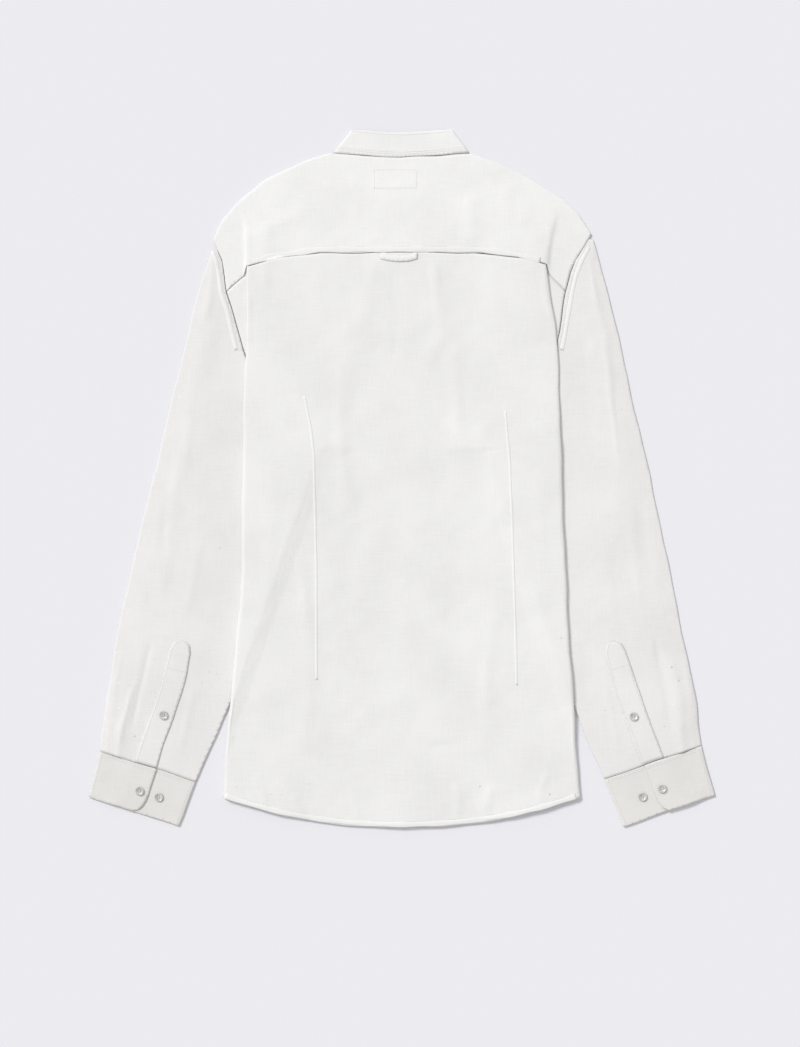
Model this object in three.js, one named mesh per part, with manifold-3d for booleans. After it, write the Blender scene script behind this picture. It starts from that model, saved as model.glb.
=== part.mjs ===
// A man's linen shirt with a band collar, laid flat on a table with its back up.
// Millimetres. +Z is up from the table (z = 0), +Y runs towards the collar, and x = 0 is the centre back.
// The sleeves are swung down beside the body and pass under it, and the body's sides are folded under.
// Each piece of cloth is a wall round a sheet: rows of points on its middle surface, bent where it is folded.
import * as THREE from "three";
import { mergeVertices } from "three/addons/utils/BufferGeometryUtils.js";
import Module from "manifold-3d";

// ---------- driving dimensions ----------

const cloth = 1; // wall of one ply of linen
const doubled = 1.5; // wall of the cuffs, which are two plies with interlining
const collarWall = 1.2; // wall of the collar band
const gap = 0.3; // between neighbours at a seam, and between plies that lie on each other
const ply = cloth + gap; // one step up in a stack of plies
const slack = 0.45; // more room where folded plies bend round each other
const turnStations = [-0.5, -0.25, 0, 0.25, 0.5]; // of a half turn, where cloth folds back on itself

const hemCorner = -367; // y of the hem at the side folds
const hemCentre = -401.4; // y of the hem at the centre back
const underarm = 32; // y of the underarm point
const slit = 4; // half height of the cut between body and sleeve there
const neckFront = 285; // y of the collar seam at the centre front
const placketWidth = 25; // buttonhole strip down the front
const frontSkew = 18; // the front edge runs this far to +X by the hem
const buttonRadius = 5.2;
const buttonPitch = 90; // down the front
const frontButtons = 7;

// Lines of the laid-out body, as distances from x = 0 to the left and to the right.
// fold: the edge that shows, where the sides are folded under.
const fold = [
  { y: -367, left: 205.3, right: 205.3 },
  { y: -301, left: 201, right: 200.4 },
  { y: -250, left: 196.3, right: 197.4 },
  { y: -200, left: 191, right: 193.6 },
  { y: -148, left: 185.4, right: 190.3 },
  { y: -94, left: 183, right: 187.7 },
  { y: 0, left: 183.1, right: 184.2 },
  { y: 117, left: 180.4, right: 180.8 },
  { y: 168, left: 177.7, right: 177.7 },
  { y: 245, left: 177.6, right: 166 },
  { y: 260, left: 178.6, right: 164.4 },
];
// tuck: how far in the folded-under cloth reaches, to the side seam or, above the underarm, to the
// inner fold of the pleat along the armhole.
const tuck = [
  { y: -395, left: 150, right: 150 },
  { y: -250, left: 131, right: 131 },
  { y: -100, left: 112, right: 112 },
  { y: 32, left: 97, right: 97 },
  { y: 60, left: 104, right: 104 },
  { y: 100, left: 121, right: 121 },
  { y: 147, left: 138, right: 137 },
  { y: 200, left: 149, right: 143 },
  { y: 260, left: 154, right: 144 },
];
// armhole: the seam between body and sleeve, from the underarm to the shoulder tip.
const armhole = [
  { y: 32, left: 98, right: 98 },
  { y: 60, left: 128, right: 128 },
  { y: 95, left: 156, right: 154 },
  { y: 125, left: 173, right: 169 },
  { y: 147, left: 182.3, right: 176.5 },
  { y: 168, left: 187.4, right: 181 },
  { y: 190, left: 193, right: 184.6 },
  { y: 213, left: 200.4, right: 188.4 },
  { y: 233, left: 202.6, right: 193.2 },
  { y: 250, left: 205.8, right: 199.8 },
  { y: 267, left: 213.8, right: 210 },
  { y: 282, left: 220, right: 217.5 },
];
// outerEdge and innerEdge: the two folded edges of the sleeves.
const outerEdge = [
  { y: -314, left: 346.4, right: 344.8 },
  { y: -255, left: 339.8, right: 338.7 },
  { y: -140, left: 319.1, right: 314.5 },
  { y: -25, left: 291.5, right: 291.5 },
  { y: 90, left: 263.9, right: 265.1 },
  { y: 205, left: 236.3, right: 239.8 },
  { y: 250, left: 221.8, right: 227.5 },
  { y: 268, left: 216.8, right: 220.5 },
  { y: 280, left: 216.8, right: 219 },
];
const innerEdge = [
  { y: -349, left: 237.2, right: 234.4 },
  { y: -314, left: 220.5, right: 219.4 },
  { y: -278, left: 205.5, right: 204.6 },
  { y: -250, left: 194.4, right: 194.2 },
  { y: -120, left: 149.5, right: 149.5 },
  { y: 32, left: 97, right: 97 },
];

// The yoke's lower edge, from the centre out: the seam, a step down at the crease, then the strip.
const yokeSeam = [
  { s: 0, leftX: 0, leftY: 258.8, rightX: 0, rightY: 258.8 },
  { s: 0.5, leftX: 95, leftY: 258.6, rightX: 92, rightY: 258.6 },
  { s: 0.72, leftX: 143, leftY: 251.9, rightX: 133, rightY: 253 },
  { s: 0.85, leftX: 178.2, leftY: 243.2, rightX: 167.2, rightY: 244.8 },
  { s: 0.868, leftX: 181.2, leftY: 231.6, rightX: 170.2, rightY: 233.6 },
  { s: 1, leftX: 200.9, leftY: 215, rightX: 188.8, rightY: 215 },
];
// The yoke's upper edge: the collar seam, then the fold over the shoulder.
const shoulder = [
  { s: 0, leftX: 0, leftY: 368, rightX: 0, rightY: 368 },
  { s: 0.2, leftX: 40, leftY: 370.2, rightX: 40, rightY: 370 },
  { s: 0.37, leftX: 78.8, leftY: 374.9, rightX: 78.8, rightY: 373.8 },
  { s: 0.5, leftX: 111, leftY: 364, rightX: 108, rightY: 364 },
  { s: 0.72, leftX: 156, leftY: 342.7, rightX: 149, rightY: 342.7 },
  { s: 0.85, leftX: 186, leftY: 319.7, rightX: 181, rightY: 323 },
  { s: 0.868, leftX: 189, leftY: 316.6, rightX: 185, rightY: 320.5 },
  { s: 0.93, leftX: 206.4, leftY: 296.7, rightX: 203, rightY: 304 },
  { s: 1, leftX: 216.6, leftY: 273.7, rightX: 217.2, rightY: 281.4 },
];
// Where the fronts meet the yoke and the collar band, from the centre front out.
const frontTop = [
  { a: 0, y: 285 },
  { a: 14, y: 287 },
  { a: 33, y: 295 },
  { a: 52, y: 310 },
  { a: 68, y: 330 },
  { a: 76, y: 345 },
  { a: 204, y: 248 },
];
const frontTopEnd = { left: 204, right: 199.6 }; // its outer end, at the armhole
// Half of the collar band's front part: its seam edge and its free edge, from the corner to the front end.
const bandFront = [
  { seamX: 74.4, seamY: 346, freeX: 45, freeY: 365 },
  { seamX: 68, seamY: 332, freeX: 39, freeY: 349 },
  { seamX: 58.5, seamY: 319.8, freeX: 33, freeY: 337 },
  { seamX: 46, seamY: 306.5, freeX: 26, freeY: 328 },
  { seamX: 32, seamY: 295.8, freeX: 17.5, freeY: 321 },
  { seamX: 14, seamY: 289, freeX: 8, freeY: 317 },
  { seamX: 0, seamY: 287.4, freeX: 0, freeY: 315.4 },
  { seamX: -12.5, seamY: 288.6, freeX: -12, freeY: 316 },
];
// Half of its back part, from the centre back to the corner.
const bandBack = [
  { seamX: 0, seamY: 368.3, freeX: 0, freeY: 396.8 },
  { seamX: 20, seamY: 369.1, freeX: 15, freeY: 397.3 },
  { seamX: 40, seamY: 370.8, freeX: 30, freeY: 398.6 },
  { seamX: 60, seamY: 373, freeX: 45, freeY: 400.2 },
];
const bandCorner = { seamX: 77.8, seamY: 375.3, freeX: 57, freeY: 401.4 };

// Cuff corners in plan: where it joins the sleeve (top) and its free edge (bottom).
// lap: how far along the cuff its top end reaches, at the sleeve and at the free edge.
const cuffs = {
  left: {
    innerTop: { x: 237.2, y: -349.2 },
    outerTop: { x: 346.2, y: -313.8 },
    innerBottom: { x: 256, y: -400.4 },
    outerBottom: { x: 360.1, y: -365.7 },
    lapTop: 0.405,
    lapBottom: 0.52,
  },
  right: {
    innerTop: { x: 233.3, y: -346.1 },
    outerTop: { x: 345, y: -308.1 },
    innerBottom: { x: 254.8, y: -400.5 },
    outerBottom: { x: 359.7, y: -364.2 },
    lapTop: 0.41,
    lapBottom: 0.49,
  },
};
const lapLength = 0.22; // of the cuff's width, that the lower end reaches under the upper one

// Tower plackets in plan: a row across from the inner side to the outer side.
const towers = {
  left: [
    { innerX: 247, innerY: -188.4, outerX: 255, outerY: -187 },
    { innerX: 243.4, innerY: -192, outerX: 261.5, outerY: -189 },
    { innerX: 242.4, innerY: -201, outerX: 266, outerY: -197 },
    { innerX: 246.3, innerY: -223, outerX: 271, outerY: -218 },
    { innerX: 254, innerY: -250, outerX: 278, outerY: -244 },
    { innerX: 261.6, innerY: -274.6, outerX: 286, outerY: -268 },
    { innerX: 272.4, innerY: -305, outerX: 297.5, outerY: -298 },
    { innerX: 281.4, innerY: -333.6, outerX: 306, outerY: -325.6 },
  ],
  right: [
    { innerX: 238.5, innerY: -188.4, outerX: 246, outerY: -187 },
    { innerX: 234.8, innerY: -192.5, outerX: 252.6, outerY: -189 },
    { innerX: 233.9, innerY: -201, outerX: 257, outerY: -197.5 },
    { innerX: 238.7, innerY: -220, outerX: 263, outerY: -214.5 },
    { innerX: 245.6, innerY: -245, outerX: 270, outerY: -238.5 },
    { innerX: 253.4, innerY: -267, outerX: 278, outerY: -260.5 },
    { innerX: 264.5, innerY: -299, outerX: 289.5, outerY: -291.5 },
    { innerX: 277.4, innerY: -330, outerX: 301.8, outerY: -321.8 },
  ],
};

// Pleats that run up from the cuffs, as soft ridges that fade towards their upper ends.
const pleats = {
  left: [
    { topX: 305, topY: -215, footX: 325, footY: -320, height: 1.6, width: 7 },
    { topX: 317, topY: -180, footX: 339, footY: -316, height: 1.3, width: 6 },
  ],
  right: [
    { topX: 306, topY: -200, footX: 324, footY: -315, height: 1.6, width: 7 },
    { topX: 319, topY: -165, footX: 339, footY: -312, height: 1.3, width: 6 },
  ],
};
const sleevePuff = 1.6; // how far the top ply of a sleeve stands off the lower one

const towerButtons = { left: { x: 273.4, y: -273 }, right: { x: 266.7, y: -273.8 } };
const cuffButtons = {
  left: [{ x: 300.8, y: -359.4 }, { x: 279.1, y: -367.4 }],
  right: [{ x: 298.8, y: -357.4 }, { x: 276.7, y: -366.3 }],
};

const label = { fromX: -31.2, toX: 17.3, fromY: 333, toY: 354 };
const loop = [
  { x: -24, y: 254.6 },
  { x: -14, y: 252.4 },
  { x: -4, y: 251.6 },
  { x: 8, y: 252 },
  { x: 18, y: 254.6 },
];
const loopWidth = 7;

// ---------- small tools ----------

const { clamp, lerp } = THREE.MathUtils;

// A smooth step from 0 to 1 as value goes from one limit to the other.
function ramp(value, from, to) {
  const t = clamp((value - from) / (to - from), 0, 1);
  return t * t * (3 - 2 * t);
}

// Reads one column of a table where another column has the given value, in straight lines between rows.
function read(table, key, at, column) {
  let i = 1;
  while (i < table.length - 1 && table[i][key] < at) i += 1;
  const before = table[i - 1];
  const after = table[i];
  const t = clamp((at - before[key]) / (after[key] - before[key]), 0, 1);
  return lerp(before[column], after[column], t);
}

const lineAt = (table, side, y) => read(table, "y", y, side);
const signOf = (side) => (side === "left" ? -1 : 1);
const sideOf = (x) => (x < 0 ? "left" : "right");

// The closed wall of a given thickness round a sheet, which is rows of middle points.
// keep says which cells of the sheet are cloth, by row and column.
function wallGeometry(sheet, thickness, keep = () => true) {
  const rowCount = sheet.length;
  const columnCount = sheet[0].length;
  const kept = (j, i) =>
    j >= 0 && i >= 0 && j < rowCount - 1 && i < columnCount - 1 && keep(j, i);

  // The direction of the sheet at a point along its row or column, from the cloth on either side.
  const direction = (j, i, dj, di) => {
    const total = new THREE.Vector3();
    const add = (from, to, cells) => {
      if (!cells.some(([r, c]) => kept(r, c))) return;
      total.add(new THREE.Vector3().subVectors(to, from).normalize());
    };
    const [backJ, backI] = [j - dj, i - di];
    if (backJ >= 0 && backI >= 0) {
      add(sheet[backJ][backI], sheet[j][i], [[backJ, backI], [backJ - di, backI - dj]]);
    }
    if (j + dj < rowCount && i + di < columnCount) {
      add(sheet[j][i], sheet[j + dj][i + di], [[j, i], [j - di, i - dj]]);
    }
    return total.normalize();
  };

  const index = new Map();
  const positions = [];
  const vertex = (j, i, face) => {
    const key = `${j}/${i}/${face}`;
    if (!index.has(key)) {
      const normal = direction(j, i, 0, 1).cross(direction(j, i, 1, 0)).normalize();
      const point = sheet[j][i].clone().addScaledVector(normal, (face * thickness) / 2);
      index.set(key, positions.length / 3);
      positions.push(point.x, point.y, point.z);
    }
    return index.get(key);
  };
  const faces = [];
  const quad = (a, b, c, d) => faces.push(a, b, c, a, c, d);
  for (let j = 0; j < rowCount - 1; j += 1) {
    for (let i = 0; i < columnCount - 1; i += 1) {
      if (!kept(j, i)) continue;
      const corners = [[j, i], [j, i + 1], [j + 1, i + 1], [j + 1, i]];
      quad(...corners.map(([r, c]) => vertex(r, c, 1)));
      quad(...corners.map(([r, c]) => vertex(r, c, -1)).reverse());
      const neighbours = [[j - 1, i], [j, i + 1], [j + 1, i], [j, i - 1]];
      neighbours.forEach(([r, c], k) => {
        if (kept(r, c)) return;
        const from = corners[k];
        const to = corners[(k + 1) % 4];
        quad(vertex(...from, -1), vertex(...to, -1), vertex(...to, 1), vertex(...from, 1));
      });
    }
  }
  const geometry = new THREE.BufferGeometry();
  geometry.setAttribute("position", new THREE.Float32BufferAttribute(positions, 3));
  geometry.setIndex(faces);
  return geometry;
}

// The height of a sheet's middle surface at a place in plan, or -Infinity beside it.
function heightOn(sheet, x, y) {
  let height = -Infinity;
  const tryTriangle = (p, q, r) => {
    const area = (q.x - p.x) * (r.y - p.y) - (r.x - p.x) * (q.y - p.y);
    if (Math.abs(area) < 1e-6) return;
    const v = ((x - p.x) * (r.y - p.y) - (r.x - p.x) * (y - p.y)) / area;
    const w = ((q.x - p.x) * (y - p.y) - (x - p.x) * (q.y - p.y)) / area;
    if (v < -1e-6 || w < -1e-6 || v + w > 1 + 1e-6) return;
    height = Math.max(height, p.z + v * (q.z - p.z) + w * (r.z - p.z));
  };
  for (let j = 0; j < sheet.length - 1; j += 1) {
    for (let i = 0; i < sheet[j].length - 1; i += 1) {
      tryTriangle(sheet[j][i], sheet[j][i + 1], sheet[j + 1][i + 1]);
      tryTriangle(sheet[j][i], sheet[j + 1][i + 1], sheet[j + 1][i]);
    }
  }
  return height;
}

// Points of a half turn where cloth folds back: from the upper ply, out to the edge, to the lower ply.
// edge is the outermost point in plan and outward the unit direction that points off the cloth there.
function turn(edge, outward, upperZ, lowerZ, thickness) {
  const radius = (upperZ - lowerZ) / 2;
  return turnStations.map((station) => {
    const angle = -station * Math.PI;
    const reach = radius * Math.cos(angle) - radius - thickness / 2;
    return new THREE.Vector3(
      edge.x + outward.x * reach,
      edge.y + outward.y * reach,
      (upperZ + lowerZ) / 2 + radius * Math.sin(angle),
    );
  });
}

// ---------- heights of the plies (undersides) ----------

const frontCentre = (y) => frontSkew * clamp((neckFront - y) / (neckFront - hemCentre), 0, 1);

// The sleeve lies under the body's side: two plies, down to where the sleeve's inner edge is.
function flapHeight(x, y) {
  if (y > underarm) return 2 * ply;
  const edge = lineAt(innerEdge, sideOf(x), y);
  return 2 * ply * ramp(Math.abs(x), edge - 18, edge - 2);
}

function frontHeight(x, y) {
  if (y > underarm) return 0;
  const edge = lineAt(tuck, sideOf(x), y);
  return flapHeight(x, y) + (2 * ply + 2 * slack) * ramp(Math.abs(x), edge - 22, edge - 4);
}

function backHeight(x, y) {
  const edge = lineAt(tuck, sideOf(x), y);
  const offCentre = Math.abs(x - frontCentre(y));
  const middle = lerp(1.7 * ply, 3 * ply, ramp(y, -400, -310));
  const centre = lerp(4.5, middle, ramp(offCentre, 18, 48));
  const lifted = 2 * ply * (1 - ramp(y, underarm + slit, 100));
  const folded = y > underarm ? lifted : flapHeight(x, y);
  const side = 3 * ply + 3 * slack + folded;
  return lerp(centre, side, ramp(Math.abs(x), edge - 60, edge - 8));
}

// A soft ridge along a pleat: full height at its foot, nothing at its top.
function ridge(pleat, a, y) {
  const dx = pleat.footX - pleat.topX;
  const dy = pleat.footY - pleat.topY;
  const t = ((a - pleat.topX) * dx + (y - pleat.topY) * dy) / (dx * dx + dy * dy);
  const across = ((a - pleat.topX) * dy - (y - pleat.topY) * dx) / Math.hypot(dx, dy);
  const spread = Math.exp(-((across / pleat.width) ** 2));
  return pleat.height * ramp(t, 0, 0.8) * spread;
}

function sleeveHeight(side, a, y) {
  const inner = Math.max(lineAt(fold, side, y), lineAt(innerEdge, side, y));
  const outer = lineAt(outerEdge, side, y);
  const body = sleevePuff * ramp(a, inner + 18, inner + 44) * ramp(outer - a, 0, 22);
  const folds = pleats[side].reduce((sum, pleat) => sum + ridge(pleat, a, y), 0);
  return ply + body * (1 - ramp(y, 200, 262)) + folds * ramp(outer - a, 0, 6);
}

// ---------- body ----------

const lowerRows = [-367, -352, -325, -290, -250, -200, -140, -75, -20, 10];
const slitRow = lowerRows.length; // the row just below the underarm
const armRows = [underarm - slit, underarm + slit, 60, 95, 125, 150];
const upperRows = [176, 200, 222, 242];
const bodyRows = [...lowerRows, ...armRows, ...upperRows];
const rowBend = -250; // below it rows bend towards the hem
const rowStart = 150; // above it rows bend towards the panel's upper edge
const topRow = bodyRows[bodyRows.length - 1];
const crease = yokeSeam[3];
const stripStart = yokeSeam[4];
const stripEnd = yokeSeam[5];

function hemAt(x) {
  const share = Math.abs(x) / lineAt(fold, sideOf(x), hemCorner);
  return lerp(hemCentre, hemCorner, Math.min(share, 1) ** 2.2);
}

// y of a row at x, in a panel whose upper edge there is at `top`.
function rowY(row, x, top) {
  if (row < rowBend) return lerp(rowBend, hemAt(x), (rowBend - row) / (rowBend - hemCorner));
  if (row > rowStart) return lerp(rowStart, top - gap, (row - rowStart) / (topRow - rowStart));
  return row;
}

const frontTopAt = (x) => read(frontTop, "a", Math.abs(x), "y");

function backTopAt(x) {
  const side = sideOf(x);
  const a = Math.min(Math.abs(x), crease[`${side}X`]);
  return read(yokeSeam, `${side}X`, a, `${side}Y`);
}

// Where a row meets a line of the body, in a panel whose upper edge is given.
function meet(line, side, row, topAt) {
  let y = row;
  for (let pass = 0; pass < 6; pass += 1) {
    const x = signOf(side) * lineAt(line, side, y);
    y = rowY(row, x, topAt(x));
  }
  return { a: lineAt(line, side, y), y };
}

// The two places between limits where the sleeve's inner edge lifts what lies on it.
function ledge(side, y, from, to) {
  const edge = y > underarm ? (from + to) / 2 : lineAt(innerEdge, side, y);
  const outer = clamp(edge - 2, from + 5, Math.max(to - 1, from + 5));
  const inner = clamp(edge - 18, from + 3, outer - 0.6);
  return [inner, outer];
}

const outwards = (side) => ({ x: signOf(side), y: 0 });
const inwards = (side) => ({ x: -signOf(side), y: 0 });

// Half a back section: main ply, turn at the fold, flap, turn at the tuck, strip out to the armhole.
function backHalf(side, row) {
  const sign = signOf(side);
  const edge = meet(fold, side, row, backTopAt);
  const inner = lineAt(tuck, side, edge.y);
  const edgePoint = { x: sign * edge.a, y: edge.y };
  const mainZ = backHeight(edgePoint.x, edge.y) + cloth / 2;
  const flapZ = flapHeight(edgePoint.x, edge.y) + cloth / 2;
  const reach = edge.a - (mainZ - flapZ) / 2 - cloth / 2;
  const shelf = ledge(side, edge.y, inner, reach);
  const main = [0, (inner - 60) / 2, inner - 60, inner - 34, inner - 8, ...shelf].map((a) => {
    const x = sign * a;
    const y = rowY(row, x, backTopAt(x));
    return new THREE.Vector3(x, y, backHeight(x, y) + cloth / 2);
  });
  const under = [shelf[1], shelf[0], inner + cloth + ply / 2].map((a) => {
    return new THREE.Vector3(sign * a, edge.y, flapHeight(sign * a, edge.y) + cloth / 2);
  });
  const stripZ = ply + cloth / 2;
  const stripY = rowY(row, 0, stripStart[`${side}Y`]);
  const tuckPoint = { x: sign * inner, y: rowY(row, 0, stripStart[`${side}Y`] + 5) };
  const endY = rowY(row, 0, stripEnd[`${side}Y`]);
  const endA = lineAt(armhole, side, endY) - gap;
  const startA = inner + cloth + ply / 2;
  const midA = clamp(edge.a + 3, lerp(startA, endA, 0.3), lerp(startA, endA, 0.8));
  const strip = [
    new THREE.Vector3(sign * midA, stripY, stripZ),
    new THREE.Vector3(sign * endA, endY, stripZ),
  ];
  return [
    ...main,
    ...turn(edgePoint, outwards(side), mainZ, flapZ, cloth),
    ...under,
    ...turn(tuckPoint, inwards(side), 2 * ply + cloth / 2, stripZ, cloth),
    ...strip,
  ];
}

const turnCount = turnStations.length;
const backSheet = bodyRows.map((row) => {
  return [...backHalf("left", row).reverse(), ...backHalf("right", row).slice(1)];
});
const backCentre = (backSheet[0].length - 1) / 2;
const backFlapEnd = 7 + turnCount + 2; // columns from the centre to the end of the flap

// The strip and its turn exist only above the underarm.
function keepBack(j, i) {
  const fromCentre = i < backCentre ? backCentre - 1 - i : i - backCentre;
  return fromCentre < backFlapEnd || j > slitRow;
}

// A front section: main ply from the front edge out, turn at the fold, flap back to the side seam.
// Above the underarm it ends at the armhole.
const frontEdges = {
  left: { from: -placketWidth / 2 - gap, steps: [0, -9, -21], lift: 1.8 },
  right: { from: -placketWidth / 2, steps: [0, placketWidth + 1, placketWidth + 21], lift: 3.1 },
};
function frontSection(side, row) {
  const sign = signOf(side);
  const below = row < underarm;
  const edge = meet(below ? fold : armhole, side, row, frontTopAt);
  const inner = Math.min(lineAt(tuck, side, edge.y), edge.a - 8);
  const { from, steps, lift } = frontEdges[side];
  const start = frontCentre(edge.y) + from;
  const mainZ = frontHeight(sign * edge.a, edge.y) + cloth / 2;
  const flapZ = mainZ - ply;
  const outerA = edge.a - (below ? ply + slack : gap); // it lies inside the back's own fold
  const reach = below ? outerA - ply / 2 - cloth / 2 : outerA;
  const shelf = ledge(side, edge.y, inner, reach);
  const point = (x) => {
    const y = rowY(row, x, frontTopAt(x));
    const fromEdge = Math.abs(x - frontCentre(y)) - placketWidth / 2;
    const lifted = lift * (1 - ramp(fromEdge, 1, 20));
    return new THREE.Vector3(x, y, Math.max(frontHeight(x, y), lifted) + cloth / 2);
  };
  const near = steps.map((step) => point(start + step));
  const far = [inner - 24, inner - 14, inner - 3, ...shelf].map((a) => point(sign * a));
  const outerPoint = { x: sign * outerA, y: edge.y };
  const bend = below
    ? turn(outerPoint, outwards(side), mainZ, flapZ, cloth)
    : turnStations.map(() => point(outerPoint.x));
  const under = [shelf[1], shelf[0], inner + gap].map((a) => {
    const z = flapHeight(sign * a, edge.y) + ply + slack + cloth / 2;
    return new THREE.Vector3(sign * a, edge.y, z);
  });
  return [...near, ...far, ...bend, ...under];
}

const tuckColumn = 5; // the last column before the tuck line
const bendColumn = 8; // the first column of the turn
function frontMesh(side) {
  const sheet = bodyRows.map((row) => {
    const section = frontSection(side, row);
    return side === "left" ? section.reverse() : section;
  });
  const last = sheet[0].length - 2;
  return wallGeometry(sheet, cloth, (j, i) => {
    const column = side === "left" ? last - i : i;
    if (j < slitRow) return true;
    return column < (j === slitRow ? tuckColumn : bendColumn);
  });
}

// The buttonhole strip, outside the right front's edge, from the hem to the collar seam.
const placketSheet = bodyRows.map((row) => {
  return [-0.5, 0, 0.5].map((across) => {
    const x = frontCentre(row) + across * placketWidth;
    return new THREE.Vector3(x, rowY(row, x, frontTopAt(x)), frontEdges.left.lift + cloth / 2);
  });
});

// ---------- yoke ----------

const yokeStations = [0, 0.1, 0.2, 0.3, 0.37, 0.5, 0.61, 0.72, 0.79, 0.85, 0.868, 0.93, 1];
const yokeLevels = [0, 0.12, 0.28, 0.45, 0.62, 0.8, 1];
const neckStation = 4; // the station at the neck point
const creaseStation = 9; // the last station on the body's side of the crease
const neckZ = 1.8; // underside of the yoke and the band at the collar seam
const shoulderFall = 0.45; // level from which the yoke settles towards its upper edge

// A point of the half yoke in plan, between its four edges.
function yokePlan(side, s, v) {
  const low = { x: read(yokeSeam, "s", s, `${side}X`), y: read(yokeSeam, "s", s, `${side}Y`) + gap };
  const high = { x: read(shoulder, "s", s, `${side}X`), y: read(shoulder, "s", s, `${side}Y`) };
  const first = yokeSeam[0];
  const middleY = lerp(first[`${side}Y`] + gap, shoulder[0][`${side}Y`], v);
  const tipY = shoulder[shoulder.length - 1][`${side}Y`];
  const outer = { y: lerp(stripEnd[`${side}Y`] + gap, tipY, v) };
  outer.x = lineAt(armhole, side, outer.y);
  const tip = { x: lineAt(armhole, side, tipY), y: tipY };
  const base = { x: stripEnd[`${side}X`], y: stripEnd[`${side}Y`] + gap };
  const ruled = { x: lerp(low.x, high.x, v), y: lerp(low.y, high.y, v) };
  return {
    x: ruled.x + s * (outer.x - lerp(base.x, tip.x, v)),
    y: ruled.y + (1 - s) * (middleY - lerp(first[`${side}Y`] + gap, shoulder[0][`${side}Y`], v))
      + s * (outer.y - lerp(base.y, tip.y, v)),
  };
}

function yokeHeight(station, v, x) {
  if (station > creaseStation) return ply;
  const edge = station < neckStation ? neckZ : ply;
  const settled = lerp(3 * ply, edge, ramp(v, shoulderFall, 1));
  const crown = 1 * (1 - ramp(Math.abs(x), 16, 52)) * (1 - ramp(v, 0.55, 0.95));
  return settled + crown;
}

// A column of the yoke: up to the shoulder, round it, and down to the seam with the front.
function yokeColumn(side, station) {
  const sign = signOf(side);
  const s = yokeStations[station];
  const atNeck = station < neckStation;
  const turnInset = (ply + cloth) / 2;
  const column = yokeLevels.slice(0, -1).map((v) => {
    const plan = yokePlan(side, s, v * (1 - 0.01));
    return new THREE.Vector3(sign * plan.x, plan.y, yokeHeight(station, v, plan.x) + cloth / 2);
  });
  const edge = yokePlan(side, s, 1);
  if (atNeck) {
    const seam = new THREE.Vector3(sign * edge.x, edge.y - gap, neckZ + cloth / 2);
    return [...column, ...Array(turnCount + 2).fill(seam)];
  }
  const share = (s - yokeStations[neckStation]) / (1 - yokeStations[neckStation]);
  const endX = lerp(76.3, frontTopEnd[side], share);
  const end = { x: endX, y: frontTopAt(endX) + 2 * gap };
  const flap = [0.5, 1].map((t) => {
    const y = lerp(edge.y - turnInset, end.y, t);
    const a = Math.min(lerp(edge.x, end.x, t), lineAt(armhole, side, y) - gap);
    return new THREE.Vector3(sign * a, y, cloth / 2);
  });
  const over = turn({ x: sign * edge.x, y: edge.y }, { x: 0, y: 1 }, ply + cloth / 2, cloth / 2, cloth);
  return [...column, ...over, ...flap];
}

const yokeColumns = [
  ...yokeStations.map((_, station) => yokeColumn("left", station)).reverse(),
  ...yokeStations.slice(1).map((_, k) => yokeColumn("right", k + 1)),
];
const yokeSheet = yokeColumns[0].map((_, j) => yokeColumns.map((column) => column[j]));
const yokeCentre = yokeStations.length - 1;
function keepYoke(j, i) {
  const fromCentre = i < yokeCentre ? yokeCentre - 1 - i : i - yokeCentre;
  return j < yokeLevels.length - 1 || fromCentre >= neckStation;
}

// ---------- collar band ----------

const bandLift = { left: 1.8, right: 3.3 }; // undersides of its two front ends
function bandHalf(side) {
  const sign = signOf(side);
  const upper = neckZ + collarWall / 2;
  const lower = collarWall / 2;
  const slope = { x: bandCorner.freeX - bandCorner.seamX, y: bandCorner.freeY - bandCorner.seamY };
  const length = Math.hypot(slope.x, slope.y);
  const outward = { x: (sign * slope.y) / length, y: -slope.x / length };
  return [0, 0.5, 1].map((t) => {
    const place = (row, z) => {
      return new THREE.Vector3(
        sign * lerp(row.seamX, row.freeX, t),
        lerp(row.seamY, row.freeY, t),
        z,
      );
    };
    const back = bandBack.map((row) => place(row, upper));
    const corner = place(bandCorner, upper);
    const front = bandFront.map((row) => {
      const lifted = bandLift[side] * (1 - ramp(lerp(row.seamX, row.freeX, t), 15, 40));
      return place(row, lifted + lower);
    });
    return [...back, ...turn(corner, outward, upper, lower, collarWall), ...front];
  });
}
const bandRight = bandHalf("right");
const bandSheet = bandHalf("left").map((row, k) => [...row.reverse(), ...bandRight[k].slice(1)]);

// ---------- sleeves ----------

const headTop = { left: 263, right: 275 }; // first row of a sleeve, just under the shoulder tip
const headRows = [250, 235, 213, 190, 168, 147, 125, 95, 60, 36];
const armLengthRows = [
  { outerY: 8, innerY: 6 },
  { outerY: -50, innerY: -58 },
  { outerY: -110, innerY: -125 },
  { outerY: -160, innerY: -180 },
  { outerY: -200, innerY: -222 },
  { outerY: -232, innerY: -258 },
  { outerY: -262, innerY: -290 },
  { outerY: -288, innerY: -320 },
];
const upperStations = [0, 0.12, 0.25, 0.38, 0.5, 0.6, 0.68, 0.75, 0.82, 0.88, 0.94];
const lowerStations = [0.66, 0.33, 0];

function sleeveEnds(side) {
  const seam = (y) => ({
    outer: { x: lineAt(outerEdge, side, y), y },
    inner: { x: lineAt(armhole, side, y) + 2.5 * gap, y },
  });
  const arm = armLengthRows.map(({ outerY, innerY }) => ({
    outer: { x: lineAt(outerEdge, side, outerY), y: outerY },
    inner: { x: lineAt(innerEdge, side, innerY), y: innerY },
  }));
  const { innerTop, outerTop } = cuffs[side];
  const cuffEnd = {
    outer: { x: outerTop.x, y: outerTop.y + gap },
    inner: { x: innerTop.x, y: innerTop.y + gap },
  };
  return [seam(headTop[side]), ...headRows.map(seam), ...arm, cuffEnd];
}

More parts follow.
